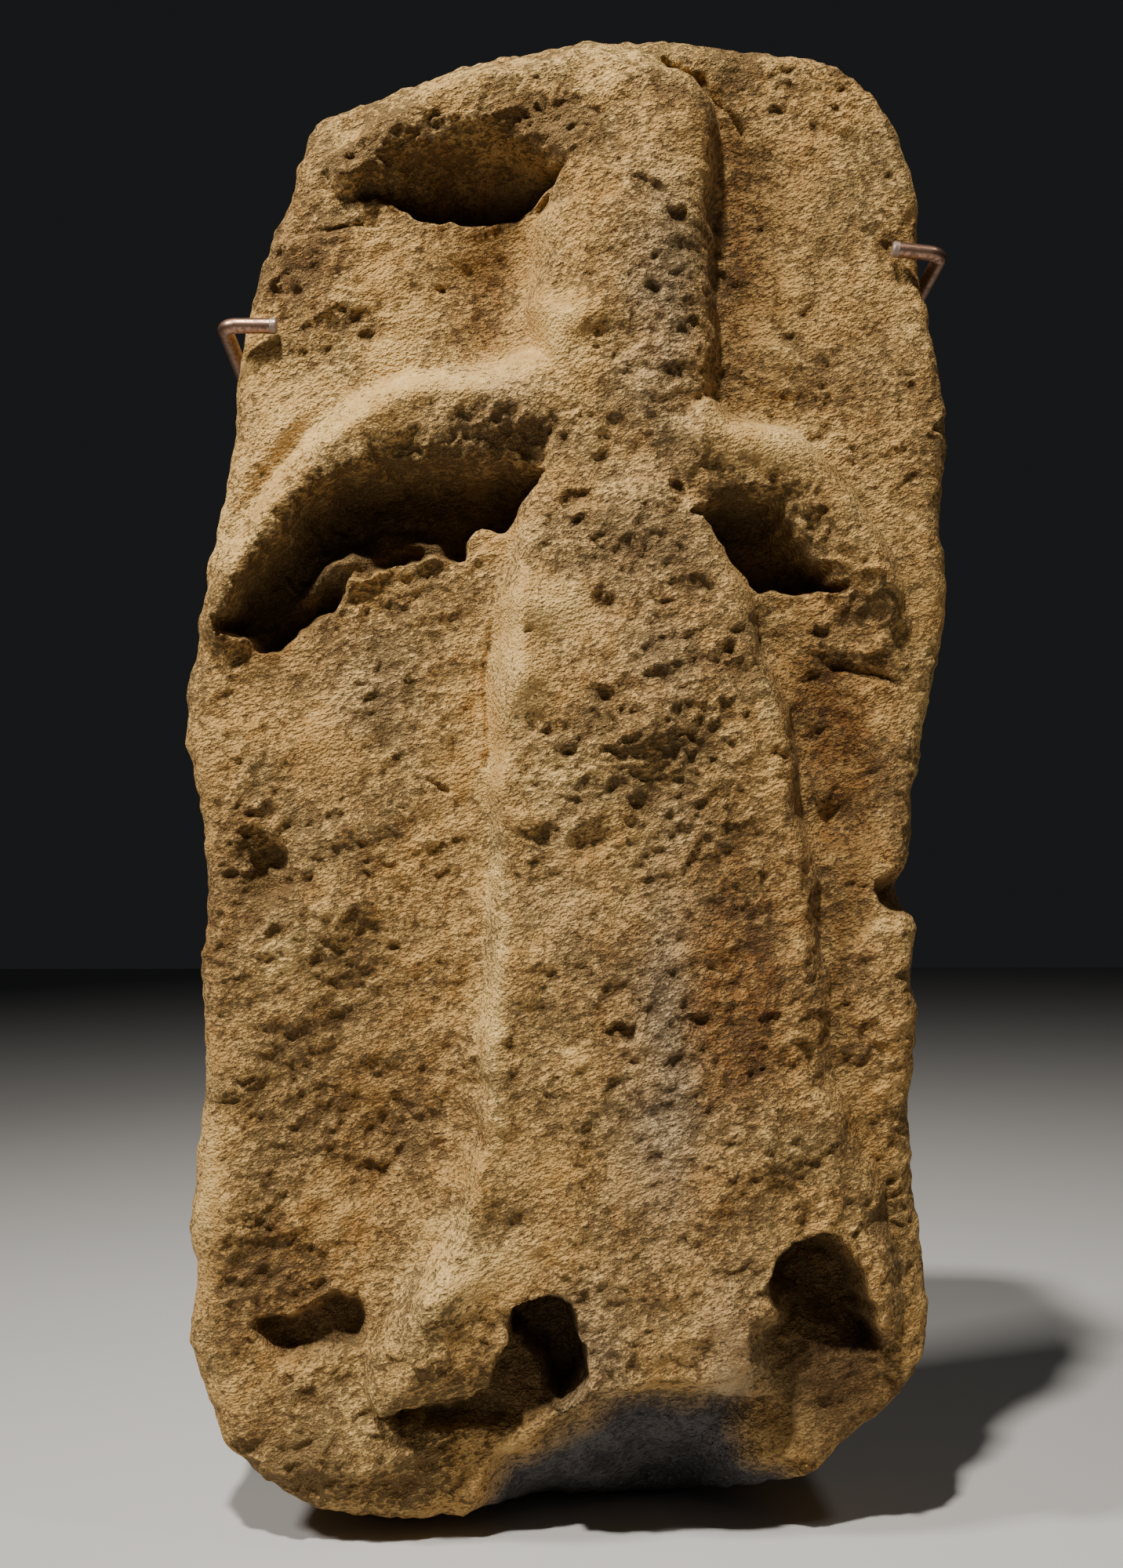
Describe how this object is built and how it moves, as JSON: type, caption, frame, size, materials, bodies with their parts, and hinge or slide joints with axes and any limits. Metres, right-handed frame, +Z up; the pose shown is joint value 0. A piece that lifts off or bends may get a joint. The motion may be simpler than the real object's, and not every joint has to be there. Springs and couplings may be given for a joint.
{
  "type": "stone relief panel",
  "caption": "Tall broken slab of porous ochre limestone, carved in relief with a worn standing form, held to a wall by bent metal rod clips.",
  "frame": {"origin": "centre of the slab's flat back face, where it lies against the wall", "axes": "+Z up the slab, -Y out of the carved front, +Y into the wall, +X to the right as seen from the front"},
  "size_m": [0.4527, 0.1622, 0.8833],
  "materials": {
    "limestone": "rough, pitted and weathered, ochre to tan with darker dirt in the hollows",
    "clip_metal": "satin, copper coloured"
  },
  "bodies": {
    "root": {"stone_relief": "limestone", "left_wall_clip": "clip_metal", "right_wall_clip": "clip_metal"}
  },
  "joints": []
}
